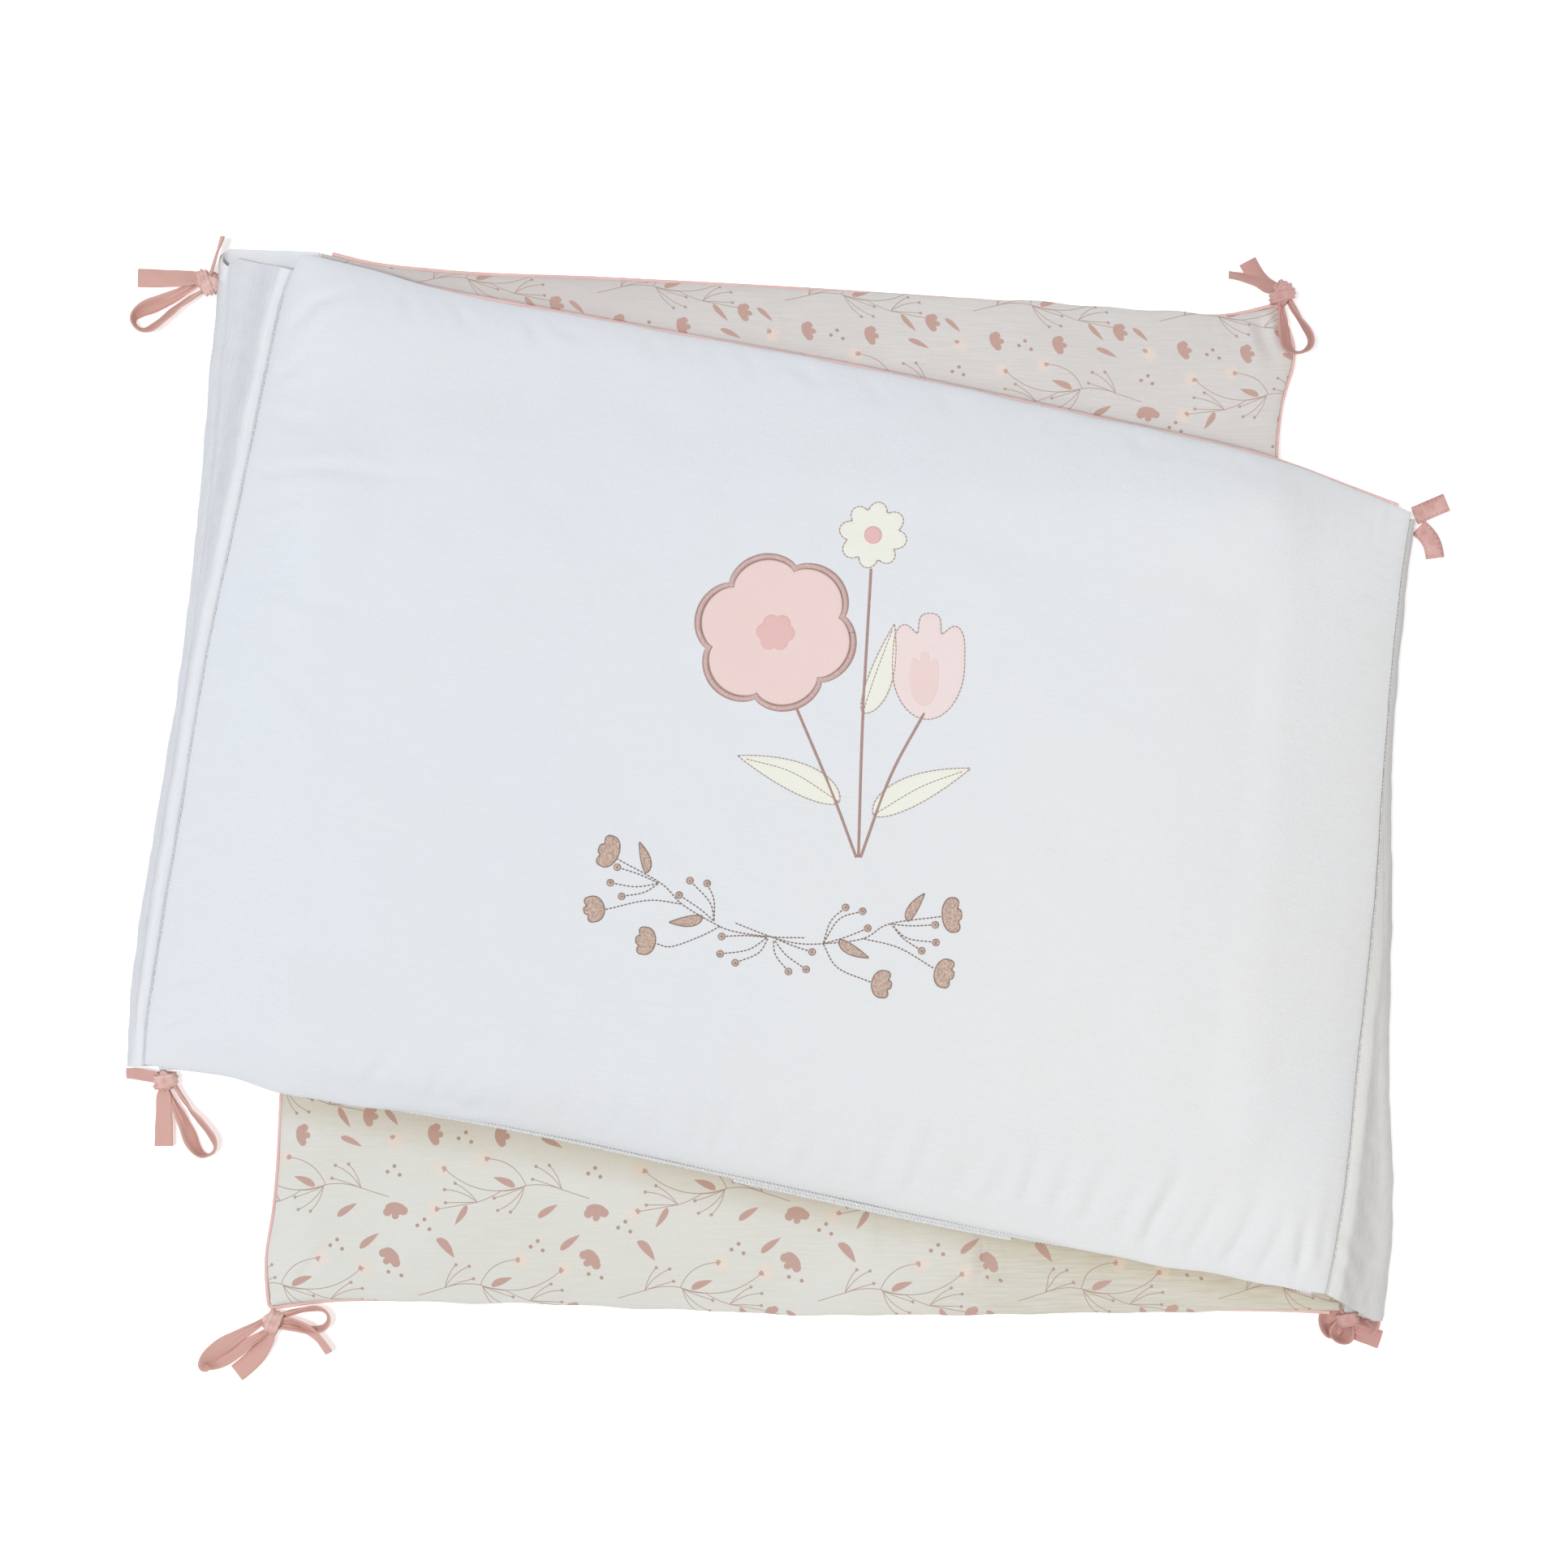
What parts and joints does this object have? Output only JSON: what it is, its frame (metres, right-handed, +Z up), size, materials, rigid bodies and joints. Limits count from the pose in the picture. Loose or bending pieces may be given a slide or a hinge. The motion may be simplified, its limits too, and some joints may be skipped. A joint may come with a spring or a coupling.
{
  "type": "crib bumper",
  "caption": "Padded crib bumper, folded and laid flat: a plain padded centre panel on top of printed end panels, joined by cloth strips, with piped edges and corner ties.",
  "frame": {"origin": "centre of the bounding box's bottom face, on the surface the folded bumper lies on", "axes": "+X along the bumper's length, to the right as seen from above; +Y towards the edge at the top of the picture; +Z up, away from the surface it lies on"},
  "size_m": [0.6396, 0.553, 0.0669],
  "materials": {
    "white_cotton": "white woven cotton over soft filling, matte",
    "printed_cotton": "ivory woven cotton with a small dusty pink leaf and flower print, matte",
    "pink_cotton": "soft pink woven cotton, used for piping and ties, matte"
  },
  "bodies": {
    "root": {"centre_panel": "white_cotton", "left_panel": "printed_cotton", "right_panel": "printed_cotton", "left_hinge": "white_cotton", "right_hinge": "white_cotton", "piping_centre_top": "pink_cotton", "edging_centre_bottom": "white_cotton", "piping_left_panel": "pink_cotton", "piping_right_panel": "pink_cotton", "tie_left_top": "pink_cotton", "tie_left_bottom": "pink_cotton", "tie_right_top": "pink_cotton", "tie_right_bottom": "pink_cotton", "tie_left_panel": "pink_cotton", "tie_right_panel": "pink_cotton"}
  },
  "joints": []
}
